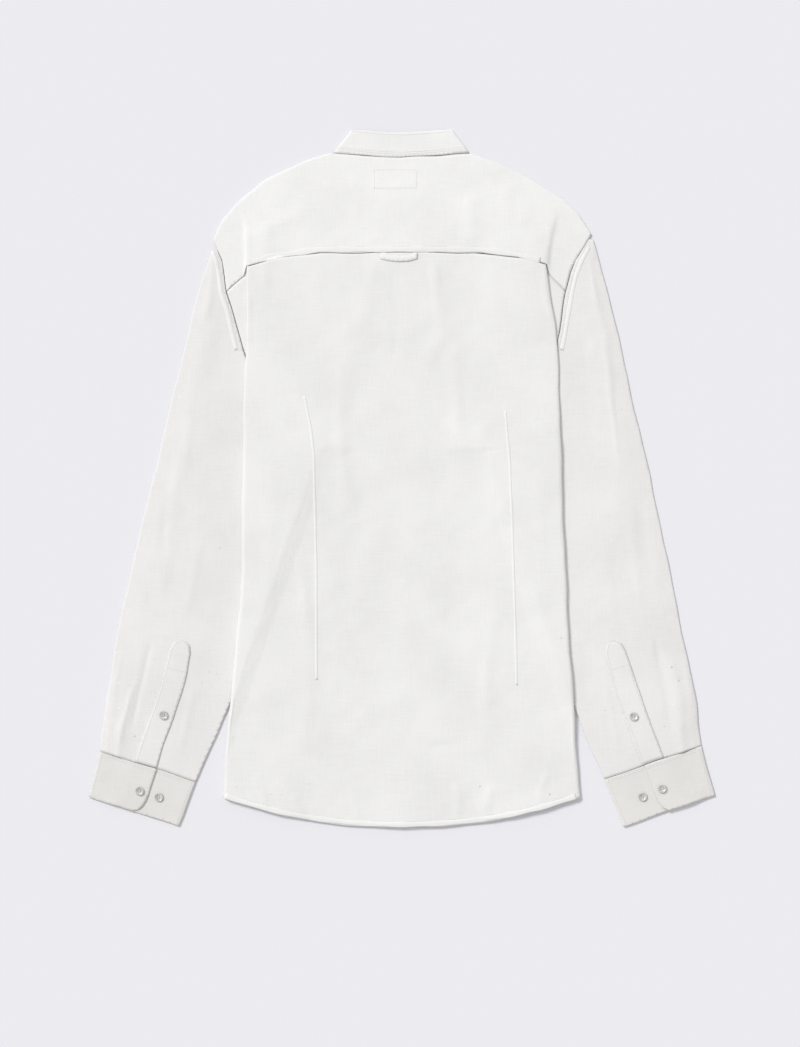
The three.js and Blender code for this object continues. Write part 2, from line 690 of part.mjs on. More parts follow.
function sleeveRow(side, { outer, inner }) {
  const sign = signOf(side);
  const length = Math.hypot(outer.x - inner.x, outer.y - inner.y);
  const outward = { x: (outer.x - inner.x) / length, y: (outer.y - inner.y) / length };
  const inset = (ply + cloth) / 2;
  const reach = { x: outer.x - outward.x * inset, y: outer.y - outward.y * inset };
  const at = (t, z) => {
    const a = lerp(inner.x, reach.x, t);
    const y = lerp(inner.y, reach.y, t);
    return new THREE.Vector3(sign * a, y, z(a, y) + cloth / 2);
  };
  const upper = upperStations.map((t) => at(t, (a, y) => sleeveHeight(side, a, y)));
  const lower = lowerStations.map((t) => at(t, () => 0));
  const edge = { x: sign * outer.x, y: outer.y };
  const way = { x: sign * outward.x, y: outward.y };
  return [...upper, ...turn(edge, way, ply + cloth / 2, cloth / 2, cloth), ...lower];
}

// Rows run from the cuff up, and across in the direction of +X, so that walls face out.
function sleeveSheet(side) {
  return sleeveEnds(side).reverse().map((ends) => {
    const row = sleeveRow(side, ends);
    return side === "left" ? row.reverse() : row;
  });
}

// ---------- cuffs ----------

const cuffLevels = [0, 0.3, 0.57, 0.7, 0.82, 0.92, 1]; // from the sleeve down to the free edge
const lapCorner = 0.57; // level at which the top end's corner starts to round
const cuffPly = doubled + gap;

function lapEdge(cuff, level) {
  const t = clamp((level - lapCorner) / (1 - lapCorner), 0, 1);
  return lerp(cuff.lapTop, cuff.lapBottom, 1 - Math.sqrt(1 - t * t));
}

// A row round the cuff: the top end, out and round the outer fold, back under, and in below the top end.
function cuffRow(side, level) {
  const sign = signOf(side);
  const cuff = cuffs[side];
  const inner = {
    x: lerp(cuff.innerTop.x, cuff.innerBottom.x, level),
    y: lerp(cuff.innerTop.y, cuff.innerBottom.y, level),
  };
  const outer = {
    x: lerp(cuff.outerTop.x, cuff.outerBottom.x, level),
    y: lerp(cuff.outerTop.y, cuff.outerBottom.y, level),
  };
  const length = Math.hypot(outer.x - inner.x, outer.y - inner.y);
  const way = { x: (sign * (outer.x - inner.x)) / length, y: (outer.y - inner.y) / length };
  const at = (p, z) => {
    return new THREE.Vector3(sign * lerp(inner.x, outer.x, p), lerp(inner.y, outer.y, p), z);
  };
  const low = doubled / 2;
  const middle = low + cuffPly;
  const high = middle + cuffPly;
  const lap = lapEdge(cuff, level);
  const under = lap + lapLength;
  const top = [0, 0.12, lapLength + 0.02, lapLength + 0.1, lapLength + 0.2].map((step) => {
    const p = lap + step;
    return at(p, lerp(high, middle, ramp(p, under + 0.02, under + 0.2)));
  });
  const outerFold = turn(at(1, 0), way, middle, low, doubled);
  const below = [0.66, 0.33].map((p) => at(p, low));
  const innerFold = turn(at(0, 0), { x: -way.x, y: -way.y }, middle, low, doubled).reverse();
  const tucked = [0.18, 0.36, under].map((p) => at(p, middle));
  return [...top, ...outerFold, ...below, ...innerFold, ...tucked];
}

function cuffSheet(side) {
  return [...cuffLevels].reverse().map((level) => {
    const row = cuffRow(side, level);
    return side === "left" ? row.reverse() : row;
  });
}

// ---------- small cloth pieces ----------

// A patch that lies on a sheet: its plan rows, lifted off the sheet by a ply.
function laidOn(sheet, rows, lift) {
  return rows.map((row) => {
    return row.map(({ x, y }) => new THREE.Vector3(x, y, heightOn(sheet, x, y) + lift));
  });
}

function towerSheet(side, sleeve) {
  const sign = signOf(side);
  const rows = [...towers[side]].reverse().map((row) => {
    const across = [0, 0.5, 1].map((t) => ({
      x: sign * lerp(row.innerX, row.outerX, t),
      y: lerp(row.innerY, row.outerY, t),
    }));
    return side === "left" ? across.reverse() : across;
  });
  return laidOn(sleeve, rows, ply + 0.15);
}

const loopSheet = laidOn(
  backSheet,
  [-1, 1].map((edge) => loop.map(({ x, y }) => ({ x, y: y + (edge * loopWidth) / 2 }))),
  ply + 0.1,
);

const labelSheet = laidOn(
  yokeSheet,
  [label.fromY, label.toY].map((y) => {
    return [0, 0.5, 1].map((t) => ({ x: lerp(label.fromX, label.toX, t), y }));
  }),
  -ply - 0.1,
);

// ---------- buttons ----------

const wasm = await Module();
wasm.setup();

function toSolid(geometry) {
  const bare = geometry.clone();
  bare.deleteAttribute("normal");
  bare.deleteAttribute("uv");
  const merged = mergeVertices(bare, 1e-4);
  return new wasm.Manifold(
    new wasm.Mesh({
      numProp: 3,
      vertProperties: merged.attributes.position.array,
      triVerts: new Uint32Array(merged.index.array),
    }),
  );
}

function toGeometry(solid) {
  const mesh = solid.getMesh();
  const geometry = new THREE.BufferGeometry();
  geometry.setAttribute("position", new THREE.Float32BufferAttribute(mesh.vertProperties, 3));
  geometry.setIndex(Array.from(mesh.triVerts));
  return geometry;
}

// A four-hole button with a raised rim, resting on z = 0.
function buttonGeometry(thickness) {
  const profile = [
    [0, 0],
    [buttonRadius - 0.5, 0],
    [buttonRadius, thickness * 0.5],
    [buttonRadius - 0.5, thickness],
    [buttonRadius - 1.4, thickness],
    [buttonRadius - 1.9, thickness * 0.7],
    [0, thickness * 0.7],
  ].map(([radius, height]) => new THREE.Vector2(radius, height));
  const disc = new THREE.LatheGeometry(profile, 14).rotateX(Math.PI / 2);
  let solid = toSolid(disc);
  for (const angle of [45, 135, 225, 315]) {
    const turned = THREE.MathUtils.degToRad(angle);
    const hole = new THREE.CylinderGeometry(0.75, 0.75, thickness * 3, 6)
      .rotateX(Math.PI / 2)
      .translate(1.45 * Math.cos(turned), 1.45 * Math.sin(turned), 0);
    solid = solid.subtract(toSolid(hole));
  }
  return toGeometry(solid);
}

// ---------- the shirt ----------

const shirt = new THREE.Group();

const linen = (color) => new THREE.MeshStandardMaterial({ color, roughness: 0.95, metalness: 0 });
const pearl = () => new THREE.MeshStandardMaterial({ color: 0xdedbd4, roughness: 0.25, metalness: 0 });

function addCloth(name, geometry, color = 0xf1efeb) {
  const mesh = new THREE.Mesh(geometry, linen(color));
  mesh.name = name;
  shirt.add(mesh);
  return mesh;
}

function addButton(name, x, y, z, thickness) {
  const mesh = new THREE.Mesh(buttonGeometry(thickness), pearl());
  mesh.name = name;
  mesh.position.set(x, y, z);
  shirt.add(mesh);
  return mesh;
}

addCloth("yoke", wallGeometry(yokeSheet, cloth, keepYoke), 0xf4f2ef);
addCloth("back_panel", wallGeometry(backSheet, cloth, keepBack));
addCloth("front_left", frontMesh("left"));
addCloth("front_right", frontMesh("right"));
addCloth("front_placket", wallGeometry(placketSheet, cloth), 0xe9e6e1);
addCloth("collar_band", wallGeometry(bandSheet, collarWall), 0xefedea);
addCloth("locker_loop", wallGeometry(loopSheet, cloth));
addCloth("neck_label", wallGeometry(labelSheet, cloth), 0xe2dfda);

const cuffButtonThickness = 2.2;
const frontButtonThickness = 1.5;
for (const side of ["left", "right"]) {
  const sign = signOf(side);
  const sleeve = sleeveSheet(side);
  const tower = towerSheet(side, sleeve);
  addCloth(`sleeve_${side}`, wallGeometry(sleeve, cloth));
  addCloth(`cuff_${side}`, wallGeometry(cuffSheet(side), doubled), 0xe4e1dc);
  addCloth(`sleeve_placket_${side}`, wallGeometry(tower, cloth), 0xe9e6e1);
  const towerButton = towerButtons[side];
  const towerZ = heightOn(tower, sign * towerButton.x, towerButton.y) + cloth / 2 + gap;
  addButton(`button_sleeve_${side}`, sign * towerButton.x, towerButton.y, towerZ, cuffButtonThickness);
  cuffButtons[side].forEach(({ x, y }, k) => {
    const plies = k === 0 ? 3 : 2;
    const z = plies * cuffPly;
    addButton(`button_cuff_${side}_${k + 1}`, sign * x, y, z, cuffButtonThickness);
  });
}

for (let k = 0; k < frontButtons; k += 1) {
  const y = neckFront - 26 - k * buttonPitch;
  addButton(`button_front_${k + 1}`, frontCentre(y), y, 0, frontButtonThickness);
}
addButton("button_collar", 0, (neckFront + 315.4) / 2, 0, frontButtonThickness);

export default shirt;
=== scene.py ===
# Looks of the linen shirt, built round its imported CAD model.
# Objects are in metres. Tables and the functions that shape cloth work in millimetres.
import math

import bmesh
import bpy
import numpy as np
from mathutils import Matrix, Vector
from mathutils.bvhtree import BVHTree


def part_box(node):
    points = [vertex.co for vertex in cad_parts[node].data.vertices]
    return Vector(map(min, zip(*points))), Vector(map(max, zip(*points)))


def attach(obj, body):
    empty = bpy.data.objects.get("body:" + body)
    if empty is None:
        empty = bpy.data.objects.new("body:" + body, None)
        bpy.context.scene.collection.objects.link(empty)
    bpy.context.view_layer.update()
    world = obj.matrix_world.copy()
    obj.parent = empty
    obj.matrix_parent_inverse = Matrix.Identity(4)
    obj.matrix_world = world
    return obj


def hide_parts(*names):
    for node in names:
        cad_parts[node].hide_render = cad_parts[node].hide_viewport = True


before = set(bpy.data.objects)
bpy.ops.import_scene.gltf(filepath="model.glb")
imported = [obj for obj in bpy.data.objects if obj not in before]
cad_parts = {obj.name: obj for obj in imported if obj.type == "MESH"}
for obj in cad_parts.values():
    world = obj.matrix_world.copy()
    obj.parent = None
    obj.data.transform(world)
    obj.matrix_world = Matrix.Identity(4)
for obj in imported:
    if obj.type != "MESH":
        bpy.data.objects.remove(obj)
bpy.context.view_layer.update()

MM = 0.001
CELL = 4.6  # longest edge of the refined cloth meshes
FOLLOW = 5.0  # height above the table from which cloth follows the creases in full
SOFTEN_CAP = 0.22  # furthest that softening moves a point up or down
SOFTEN_PASSES = 45
REFINE_PASSES = 9  # most times that long edges are halved
WELD = 2e-6  # metres, within which points of a CAD mesh are one point
CLOTH_SHARP_ANGLE = 60  # degrees between faces from which an edge stays sharp
BUTTON_SHARP_ANGLE = 35
DEEPEST_TROUGH = -2.2
RAY_HEIGHT = 0.05  # metres above the table, clear of the whole shirt
RING_SIDES = 6  # sides of a stitch's cross-section
TAPE_STEP = 3.0  # between the rows of a raised strip
PLY_JUMP = 1.2  # a step in height from which a strip's edge stays level with its middle
FLOOR_DEPTH = -0.0004  # metres, just under the shirt
FLOOR_REACH = 6  # metres from the middle to each side

# ---------- creases of the laid-out shirt ----------
# Each is a line in plan, its height (a trough where negative), and its half width.
CREASES = [
    # yoke
    (((79, 332), (80, 300), (78, 262)), 1.3, 9),
    (((-155, 300), (-158, 262), (-155, 208)), 1.2, 8),
    (((-60, 345), (-52, 320), (-50, 292)), 0.5, 9),
    (((128, 345), (120, 318), (122, 290)), 0.6, 10),
    # back, under the yoke seam
    (((36, 258), (41, 214), (46, 168), (21, 110)), 1.1, 9),
    (((-30, 256), (-38, 212), (-52, 160)), 0.8, 10),
    (((-92, 254), (-96, 205), (-92, 168)), 0.7, 9),
    (((100, 254), (106, 215), (112, 180)), 0.7, 9),
    (((-8, 252), (-4, 190), (-10, 120)), -0.5, 9),
    # armhole folds
    (((-176, 216), (-176, 190), (-177, 150)), 0.9, 5),
    (((164, 249), (165, 215), (174, 172)), 0.9, 5),
    # long soft troughs down the back
    (((-60, 60), (-58, -60), (-66, -190)), -0.7, 16),
    (((60, 40), (66, -80), (58, -220)), -0.6, 18),
    (((-150, 40), (-152, -90), (-160, -230)), 0.6, 12),
    (((158, 30), (160, -110), (166, -250)), 0.5, 12),
    (((0, -60), (6, -180), (4, -300)), 0.5, 16),
    # near the hem
    (((-128, -362), (-115, -385), (-108, -396)), 1.0, 6),
    (((-60, -352), (-52, -376), (-50, -398)), 0.7, 6),
    (((60, -348), (66, -370), (64, -392)), 1.0, 6),
    (((105, -350), (98, -372), (94, -392)), 0.9, 6),
    (((10, -290), (32, -297), (60, -302)), 0.6, 5),
    (((28, -312), (48, -306), (70, -310)), -0.5, 5),
    (((-170, -340), (-160, -364), (-156, -384)), 0.7, 6),
    (((168, -336), (160, -360), (158, -380)), 0.8, 6),
    # sleeves, from the shoulder tips down
    (((-213.8, 266), (-218.6, 225), (-221, 205), (-228.6, 174)), 1.6, 5),
    (((-205, 190), (-215, 120), (-222, 40)), -0.8, 9),
    (((-236, 150), (-244, 70), (-252, -20)), 0.9, 9),
    (((-262, 30), (-272, -60), (-278, -120)), -0.8, 9),
    (((-232, -60), (-242, -130), (-252, -176)), 0.7, 9),
    (((214, 276), (217.5, 246), (223.7, 207), (232.9, 169.4), (251, -2)), 1.6, 5),
    (((208, 185), (214, 110), (222, 20)), -0.9, 9),
    (((236, 60), (246, -30), (258, -110)), 0.8, 9),
    (((272, 0), (282, -80), (292, -140)), -0.8, 9),
    (((230, -70), (240, -140), (246, -176)), 0.7, 9),
    # pleats above the cuffs
    (((-286, -184), (-300, -240), (-313, -300)), -1.4, 5),
    (((-305, -227.7), (-321.4, -284), (-324.6, -316.6)), 1.3, 5),
    (((-318, -187), (-335.8, -260), (-339, -305.3)), 1.0, 4.5),
    (((290, -176), (302, -236), (312, -300)), -1.4, 5),
    (((308, -203.6), (319.5, -253.7), (324.3, -310)), 1.3, 5),
    (((321, -171), (329, -232.6), (339.6, -292)), 1.0, 4.5),
    (((-236, -230), (-246, -276), (-256, -330)), 0.8, 6),
    (((232, -226), (242, -272), (252, -326)), 0.8, 6),
    # cuffs
    (((-345, -330), (-350, -350)), 0.5, 8),
    (((344, -326), (349, -350)), 0.5, 8),
]
# Soft arches of the cloth that lies on the table, under everything else.
ARCHES = [
    (((-60, 200), (-70, 60), (-58, -120)), 1.0, 12),
    (((52, 220), (64, 90), (72, -60)), 1.1, 13),
    (((110, -120), (96, -240), (104, -350)), 0.9, 12),
    (((-120, -60), (-104, -200), (-112, -330)), 1.0, 11),
    (((-250, 60), (-268, -60), (-282, -170)), 0.8, 10),
    (((246, 80), (262, -50), (280, -180)), 0.9, 10),
    (((-150, 290), (-120, 300), (-96, 322)), 0.7, 9),
    (((150, 292), (122, 304), (98, 322)), 0.7, 9),
]
LABEL = (-31.2, 17.3, 333.0, 354.0)


def smooth_step(value, start, end):
    t = np.clip((value - start) / (end - start), 0.0, 1.0)
    return t * t * (3 - 2 * t)


def along(points, line, height, width, seed):
    """Height that one crease gives each point: it fades at both ends and swells unevenly on the way."""
    line = np.asarray(line, float)
    lengths = np.linalg.norm(np.diff(line, axis=0), axis=1)
    starts = np.concatenate([[0.0], np.cumsum(lengths)])
    nearest = np.full(len(points), 1e9)
    place = np.zeros(len(points))
    for k, length in enumerate(lengths):
        way = (line[k + 1] - line[k]) / length
        t = np.clip((points - line[k]) @ way, 0.0, length)
        away = np.linalg.norm(points - line[k] - t[:, None] * way, axis=1)
        closer = away < nearest
        nearest = np.where(closer, away, nearest)
        place = np.where(closer, starts[k] + t, place)
    share = place / starts[-1]
    fade = smooth_step(share, 0.0, 0.22) * smooth_step(1 - share, 0.0, 0.3)
    swell = 0.8 + 0.2 * np.sin(place / 17.0 + seed * 1.7)
    spread = width * (0.85 + 0.3 * np.sin(place / 31.0 + seed))
    return height * fade * swell * np.exp(-((nearest / spread) ** 2))


def warped(points):
    """Points of the CAD model, in millimetres, after the creases. Plies keep their order."""
    plan = points[:, :2]
    x, y, z = points.T
    crease = sum(along(plan, *c, k) for k, c in enumerate(CREASES))
    arch = sum(along(plan, *c, k + 50) for k, c in enumerate(ARCHES))
    broad = np.sin(x / 29.0 + 1.3 * np.sin(y / 61.0)) * np.sin(y / 47.0 + 0.8 * np.sin(x / 53.0))
    fine = np.sin(x / 8.3 + 1.9 * np.sin(y / 17.0)) * np.sin(y / 9.7 + 1.4 * np.sin(x / 23.0))
    on_label = (
        smooth_step(x, LABEL[0] - 3, LABEL[0] + 2)
        * smooth_step(-x, -LABEL[1] - 3, -LABEL[1] + 2)
        * smooth_step(y, LABEL[2] - 3, LABEL[2] + 2)
        * smooth_step(-y, -LABEL[3] - 3, -LABEL[3] + 2)
    )
    relief = crease + 0.35 * broad + 0.14 * fine + 0.35 * on_label
    relief = np.maximum(relief, DEEPEST_TROUGH)
    out = points.copy()
    out[:, 2] = z + np.maximum(arch, 0) + relief * np.clip(z / FOLLOW, 0.0, 1.0)
    out[:, 0] += 0.5 * np.sin(y / 21.0 + 0.6) + 0.25 * np.sin(y / 8.0 + x / 40.0)
    out[:, 1] += 0.6 * np.sin(x / 23.0 + 1.1) + 0.3 * np.sin(x / 9.0 + y / 60.0)
    return out


# ---------- meshes ----------


def new_object(name, mesh):
    obj = bpy.data.objects.new(name, mesh)
    bpy.context.scene.collection.objects.link(obj)
    return obj


def coordinates(mesh):
    flat = np.empty(len(mesh.vertices) * 3)
    mesh.vertices.foreach_get("co", flat)
    return flat.reshape(-1, 3)


def softened(mesh, points):
    """Evens out the heights between the CAD model's facets."""
    pairs = np.empty(len(mesh.edges) * 2, int)
    mesh.edges.foreach_get("vertices", pairs)
    a, b = pairs.reshape(-1, 2).T
    count = np.bincount(a, minlength=len(points)) + np.bincount(b, minlength=len(points))
    height = points[:, 2].copy()
    for _ in range(SOFTEN_PASSES):
        total = np.bincount(a, height[b], len(points)) + np.bincount(b, height[a], len(points))
        height = 0.5 * height + 0.5 * total / np.maximum(count, 1)
        height = np.clip(height, points[:, 2] - SOFTEN_CAP, points[:, 2] + SOFTEN_CAP)
    out = points.copy()
    out[:, 2] = np.maximum(height, 0.0)
    return out


def cloth_from(node, name):
    """A fine mesh on the form of a CAD node, softened and creased."""
    bm = bmesh.new()
    bm.from_mesh(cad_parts[node].data)
    bm.transform(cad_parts[node].matrix_world)
    bmesh.ops.remove_doubles(bm, verts=bm.verts, dist=WELD)
    for _ in range(REFINE_PASSES):
        long_edges = [e for e in bm.edges if e.calc_length() > CELL * MM]
        if not long_edges:
            break
        bmesh.ops.subdivide_edges(bm, edges=long_edges, cuts=1)
        bmesh.ops.triangulate(bm, faces=[f for f in bm.faces if len(f.verts) > 3])
    mesh = bpy.data.meshes.new(name)
    bm.to_mesh(mesh)
    bm.free()
    points = warped(softened(mesh, coordinates(mesh) / MM))
    mesh.vertices.foreach_set("co", (points * MM).ravel())
    mesh.update()
    mesh.shade_smooth()
    mesh.set_sharp_from_angle(angle=math.radians(CLOTH_SHARP_ANGLE))
    return new_object(name, mesh)


def tree_of(*objs):
    points, faces = [], []
    for obj in objs:
        start = len(points)
        points += [v.co.copy() for v in obj.data.vertices]
        faces += [[start + i for i in p.vertices] for p in obj.data.polygons]
    return BVHTree.FromPolygons(points, faces)


def resampled(line, step):
    """Points every step along a line, with its direction there."""
    line = [Vector(p) for p in line]
    out = []
    carry = 0.0
    for p, q in zip(line, line[1:]):
        length = (q - p).length
        way = (q - p) / length
        while carry < length:
            out.append((p + way * carry, way))
            carry += step
        carry -= length
    return out


def top_of(tree, x, y):
    hit = tree.ray_cast(Vector((x * MM, y * MM, RAY_HEIGHT)), Vector((0, 0, -1)))[0]
    return None if hit is None else hit.z / MM


def mesh_of(name, points, faces):
    mesh = bpy.data.meshes.new(name)
    mesh.from_pydata([Vector(p) * MM for p in points], [], faces)
    mesh.validate()
    mesh.update()
    mesh.shade_smooth()
    return new_object(name, mesh)


def stitches(name, tree, lines, pitch=3.1, length=2.3, radius=0.24):
    """Rows of thread stitches that lie on the cloth, each a small rounded spindle."""
    points, faces = [], []
    turns = [t * math.tau / RING_SIDES for t in range(RING_SIDES)]
    ring = [(math.cos(t), math.sin(t)) for t in turns]
    for line in lines:
        for centre, way in resampled(line, pitch):
            height = top_of(tree, centre.x, centre.y)
            if height is None:
                continue
            side = Vector((-way.y, way.x))
            start = len(points)
            for reach, girth in ((-0.5, 0.35), (-0.3, 1), (0.3, 1), (0.5, 0.35)):
                for c, s in ring:
                    p = centre + way * reach * length + side * c * radius * girth
                    points.append((p.x, p.y, height + 0.05 + s * radius * girth))
            for k in range(3):
                for i in range(RING_SIDES):
                    j = (i + 1) % RING_SIDES
                    a = start + k * RING_SIDES
                    faces.append((a + i, a + j, a + RING_SIDES + j, a + RING_SIDES + i))
            faces.append([start + i for i in reversed(range(RING_SIDES))])
            faces.append([start + 3 * RING_SIDES + i for i in range(RING_SIDES)])
    return mesh_of(name, points, faces)


def tape(name, tree, lines, width, height):
    """A raised strip of folded cloth that follows lines over the cloth."""
    half = [(0.5, -0.35), (0.5, 0.1), (0.36, height)]
    profile = [*((-across, lift) for across, lift in half), (0, height * 1.1), *reversed(half)]
    points, faces = [], []
    for line in lines:
        rows = []
        for centre, way in resampled(line, TAPE_STEP):
            side = Vector((-way.y, way.x))
            height_here = top_of(tree, centre.x, centre.y)
            if height_here is None:
                continue
            wobble = 1 + 0.12 * math.sin(centre.x / 7 + centre.y / 11)
            row = []
            for across, lift in profile:
                p = centre + side * across * width * wobble
                under = top_of(tree, p.x, p.y)
                apart = under is None or abs(under - height_here) > PLY_JUMP
                level = height_here if apart else under
                row.append(len(points))
                points.append((p.x, p.y, level + lift))
            rows.append(row)
        if len(rows) < 2:
            continue
        n = len(profile)
        for a, b in zip(rows, rows[1:]):
            faces += [(a[i], a[(i + 1) % n], b[(i + 1) % n], b[i]) for i in range(n)]
        faces += [list(reversed(rows[0])), rows[-1]]
    return mesh_of(name, points, faces)


# ---------- materials ----------


def linen(name, colour, weave=0.5):
    """Plain-woven linen: crossing threads, slubs both ways, and uneven tone."""
    material = bpy.data.materials.new(name)
    material.use_nodes = True
    tree = material.node_tree
    nodes, link = tree.nodes, tree.links.new
    shader = nodes["Principled BSDF"]
    shader.inputs["Roughness"].default_value = 0.92
    shader.inputs["Specular IOR Level"].default_value = 0.12
    shader.inputs["Sheen Weight"].default_value = 0.06
    place = nodes.new("ShaderNodeTexCoord").outputs["Object"]

    def threads(stretch, scale):
        mapping = nodes.new("ShaderNodeMapping")
        mapping.inputs["Scale"].default_value = stretch
        noise = nodes.new("ShaderNodeTexNoise")
        noise.inputs["Scale"].default_value = scale
        noise.inputs["Detail"].default_value = 4
        link(place, mapping.inputs["Vector"])
        link(mapping.outputs["Vector"], noise.inputs["Vector"])
        return noise.outputs["Fac"]

    def combine(operation, a, b):
        node = nodes.new("ShaderNodeMath")
        node.operation = operation
        for socket, value in zip(node.inputs, (a, b)):
            if isinstance(value, (int, float)):
                socket.default_value = value
            else:
                link(value, socket)
        return node.outputs[0]

    warp = threads((1, 0.06, 1), 900)
    weft = threads((0.06, 1, 1), 900)
    mottle = threads((1, 1, 1), 14)
    woven = combine("ADD", warp, weft)
    bump = nodes.new("ShaderNodeBump")
    bump.inputs["Strength"].default_value = weave
    bump.inputs["Distance"].default_value = 0.00025
    link(woven, bump.inputs["Height"])
    link(bump.outputs["Normal"], shader.inputs["Normal"])

    tone = combine("ADD", combine("MULTIPLY", woven, 0.35), combine("MULTIPLY", mottle, 0.65))
    ramp = nodes.new("ShaderNodeValToRGB")
    dark = [c * 0.93 for c in colour]
    light = [min(c * 1.025, 1.0) for c in colour]
    ramp.color_ramp.elements[0].position = 0.42
    ramp.color_ramp.elements[0].color = (*dark, 1)
    ramp.color_ramp.elements[1].position = 0.78
    ramp.color_ramp.elements[1].color = (*light, 1)
    link(tone, ramp.inputs["Fac"])
    link(ramp.outputs["Color"], shader.inputs["Base Color"])
    return material


def pearl(name):
    """Mother-of-pearl buttons: pale, glossy, faintly clouded."""
    material = bpy.data.materials.new(name)
    material.use_nodes = True
    nodes, link = material.node_tree.nodes, material.node_tree.links.new
    shader = nodes["Principled BSDF"]
    shader.inputs["Roughness"].default_value = 0.24
    shader.inputs["Coat Weight"].default_value = 0.35
    place = nodes.new("ShaderNodeTexCoord").outputs["Object"]
    clouds = nodes.new("ShaderNodeTexNoise")
    clouds.inputs["Scale"].default_value = 420
    clouds.inputs["Distortion"].default_value = 1.4
    ramp = nodes.new("ShaderNodeValToRGB")
    ramp.color_ramp.elements[0].position = 0.3
    ramp.color_ramp.elements[0].color = (0.46, 0.45, 0.43, 1)
    ramp.color_ramp.elements[1].position = 0.7
    ramp.color_ramp.elements[1].color = (0.74, 0.73, 0.7, 1)
    link(place, clouds.inputs["Vector"])
    link(clouds.outputs["Fac"], ramp.inputs["Fac"])
    link(ramp.outputs["Color"], shader.inputs["Base Color"])
    return material


LINEN = linen("linen_body", (0.84, 0.835, 0.825))
LINEN_BRIGHT = linen("linen_double", (0.87, 0.865, 0.855))
# Painted shade: the body's linen, coloured darker for the sleeves, plackets and label.
LINEN_PAINTED_SHADE = linen("linen_painted_shade", (0.82, 0.81, 0.795))
# Painted shade: the body's linen, coloured darker still for the cuffs at the bottom, where the light
# falls off.
LINEN_CUFF_PAINTED_SHADE = linen("linen_cuff_painted_shade", (0.77, 0.755, 0.73))
THREAD = linen("thread", (0.72, 0.71, 0.69), 0.2)
PEARL = pearl("pearl")

# ---------- cloth pieces ----------
# By CAD node: the size it was cut to (width, length) and its flat area, in metres, the nodes that it
# rests on, and its material.
SHEETS = {
    "yoke": ((0.46, 0.16), 0.0563, ["back_panel", "front_left", "front_right"], LINEN_BRIGHT),
    "back_panel": (
        (0.56, 0.66), 0.3355, ["front_left", "front_right", "sleeve_left", "sleeve_right"], LINEN,
    ),
    "front_left": ((0.28, 0.71), 0.1499, ["front_placket"], LINEN),
    "front_right": ((0.29, 0.71), 0.1561, [], LINEN),
    "front_placket": ((0.0255, 0.69), 0.01759, ["front_right"], LINEN_PAINTED_SHADE),
    "collar_band": ((0.43, 0.029), 0.01226, ["yoke"], LINEN_BRIGHT),
    "locker_loop": ((0.01, 0.042), 0.00034, ["back_panel"], LINEN_BRIGHT),
    "neck_label": ((0.0485, 0.021), 0.00101, ["yoke"], LINEN_PAINTED_SHADE),
    "sleeve_left": ((0.4, 0.62), 0.1503, [], LINEN_PAINTED_SHADE),
    "sleeve_right": ((0.4, 0.62), 0.152, [], LINEN_PAINTED_SHADE),
    "cuff_left": ((0.26, 0.056), 0.01387, ["sleeve_left"], LINEN_CUFF_PAINTED_SHADE),
    "cuff_right": ((0.26, 0.056), 0.01456, ["sleeve_right"], LINEN_CUFF_PAINTED_SHADE),
    "sleeve_placket_left": ((0.026, 0.148), 0.00384, ["sleeve_left"], LINEN_PAINTED_SHADE),
    "sleeve_placket_right": ((0.026, 0.148), 0.00378, ["sleeve_right"], LINEN_PAINTED_SHADE),
}
cloths = {}
for node, (_, _, _, material) in SHEETS.items():
    cloth = cloth_from(node, f"cloth_{node}")
    cloth.data.materials.append(material)
    cloths[node] = cloth

# ---------- seams and stitching ----------
surface = tree_of(*cloths.values())


DARTS = [
    [(-111.6, 94.3), (-104, 56), (-100.6, 26.5), (-98, -100), (-97.4, -234.6)],
    [(119, 77), (124, 20), (126.7, -47.7), (130, -150), (132.4, -240.4)],
]
HEM_CENTRE, HEM_RISE, HEM_HALF, HEM_BEND = -401.4, 34.4, 205.3, 2.2
HEM_INSET = 3.6  # from the hem's edge to the middle of its fold
HEM = [
    (x, HEM_CENTRE + HEM_RISE * (abs(x) / HEM_HALF) ** HEM_BEND + HEM_INSET)
    for x in np.linspace(-203, 203, 60)
]
HEM_STITCH = [(x, y + 3.4) for x, y in HEM]
YOKE_BAND = [
    (-168, 249.5), (-143, 255.6), (-95, 262.4), (0, 262.6), (92, 262.4), (133, 256.8), (160, 249),
]
YOKE_STITCH = [(x, y + 3.2) for x, y in YOKE_BAND]
COLLAR_SEAM = [
    (-76, 379), (-60, 376.8), (-40, 374.6), (-20, 373), (0, 372.2),
    (20, 373), (40, 374.6), (60, 376.8), (76, 379),
]
COLLAR_STITCH = [(x, y + 2.2) for x, y in COLLAR_SEAM]
COLLAR_EDGE = [(-56, 398.5), (-30, 395.9), (0, 394), (30, 395.9), (56, 398.5)]
LABEL_LINES = [
    [(LABEL[0], LABEL[2]), (LABEL[1], LABEL[2])],
    [(LABEL[0], LABEL[3]), (LABEL[1], LABEL[3])],
    [(LABEL[0], LABEL[2]), (LABEL[0], LABEL[3])],
    [(LABEL[1], LABEL[2]), (LABEL[1], LABEL[3])],
]
ARMHOLE = {
    "left": [
        (-190, 147), (-195, 168), (-200, 190), (-207.5, 213), (-210, 233), (-213, 250), (-220, 266),
    ],
    "right": [(184, 147), (188.5, 168), (192, 190), (196, 213), (200.6, 233), (207, 250), (216, 266)],
}
CUFF = {
    "left": [(-237.2, -349.2), (-346.2, -313.8), (-360.1, -365.7), (-256, -400.4)],
    "right": [(233.3, -346.1), (345, -308.1), (359.7, -364.2), (254.8, -400.5)],
}
TOWER = {
    "left": [
        (247, -188.4), (243.4, -194), (242.4, -201), (246.3, -223),
        (254, -250), (261.6, -274.6), (281.4, -333.6),
    ],
    "right": [
        (238.5, -188.4), (235.4, -194), (233.9, -201), (238.7, -220),
        (245.6, -245), (253.4, -267), (277.4, -330),
    ],
}
